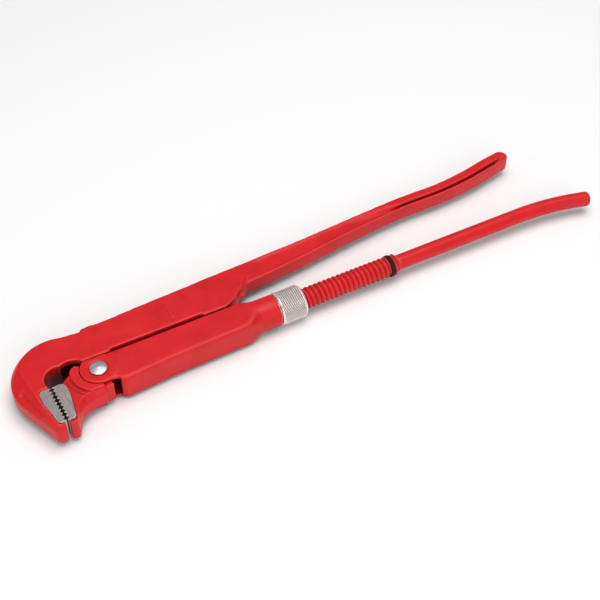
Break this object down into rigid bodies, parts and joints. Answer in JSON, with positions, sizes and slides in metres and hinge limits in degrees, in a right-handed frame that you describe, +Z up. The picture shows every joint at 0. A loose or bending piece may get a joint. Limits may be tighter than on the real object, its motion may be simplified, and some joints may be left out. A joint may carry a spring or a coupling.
{
  "type": "pipe wrench",
  "caption": "Two-handled pipe wrench: a fixed hook jaw on an I-section arm and a sliding, pivoting toothed jaw on a threaded spindle, set by a knurled nut.",
  "frame": {"origin": "centre of the tool's bounding box in plan, on the plane that it lies on", "axes": "+X runs back along the threaded spindle to the ends of the handles, +Y points from the spindle to the fixed arm, +Z goes up through the thickness of the tool lying on its side"},
  "size_m": [0.5562, 0.1224, 0.0294],
  "materials": {
    "red_enamel": "semi-gloss red enamel over drop-forged steel",
    "insert_steel": "bare ground steel, satin grey",
    "nut_steel": "plated, diamond knurl",
    "rivet_steel": "polished domed heads",
    "pin_steel": "ground",
    "spring_steel": "dark tempered spring steel",
    "black_rubber": "matt black"
  },
  "bodies": {
    "fixed_arm": {"fixed_arm": "red_enamel", "fixed_jaw_insert": "insert_steel", "hinge_pin": "pin_steel"},
    "spindle": {"threaded_spindle": "red_enamel", "lower_handle": "red_enamel", "thread_stop_ring": "black_rubber"},
    "sleeve": {"sleeve": "red_enamel", "jaw_rivet": "rivet_steel", "leaf_spring": "spring_steel", "spring_rivet": "pin_steel", "nut_retaining_ring": "spring_steel"},
    "lower_jaw": {"lower_jaw": "red_enamel", "lower_jaw_insert": "insert_steel"},
    "nut": {"adjusting_nut": "nut_steel"}
  },
  "joints": [
    {"name": "handle_pivot", "type": "hinge", "parent": "fixed_arm", "child": "spindle", "pos_m": [-0.0895, -0.0187, 0.0147], "axis": [0, 0, 1], "range_deg": [0, 7.5]},
    {"name": "sleeve_slide", "type": "slide", "parent": "spindle", "child": "sleeve", "axis": [1, 0, 0], "range_m": [0, 0.084]},
    {"name": "jaw_pivot", "type": "hinge", "parent": "sleeve", "child": "lower_jaw", "pos_m": [-0.2085, -0.0187, 0.0147], "axis": [0, 0, 1], "range_deg": [0, 15]},
    {"name": "nut_turn", "type": "hinge", "parent": "sleeve", "child": "nut", "pos_m": [-0.0345, -0.0187, 0.0147], "axis": [1, 0, 0], "range_deg": [0, 6575]}
  ],
  "couplings": [
    {"joint": "nut_turn", "follows": "sleeve_slide", "rad_per_m": 1365.9}
  ]
}
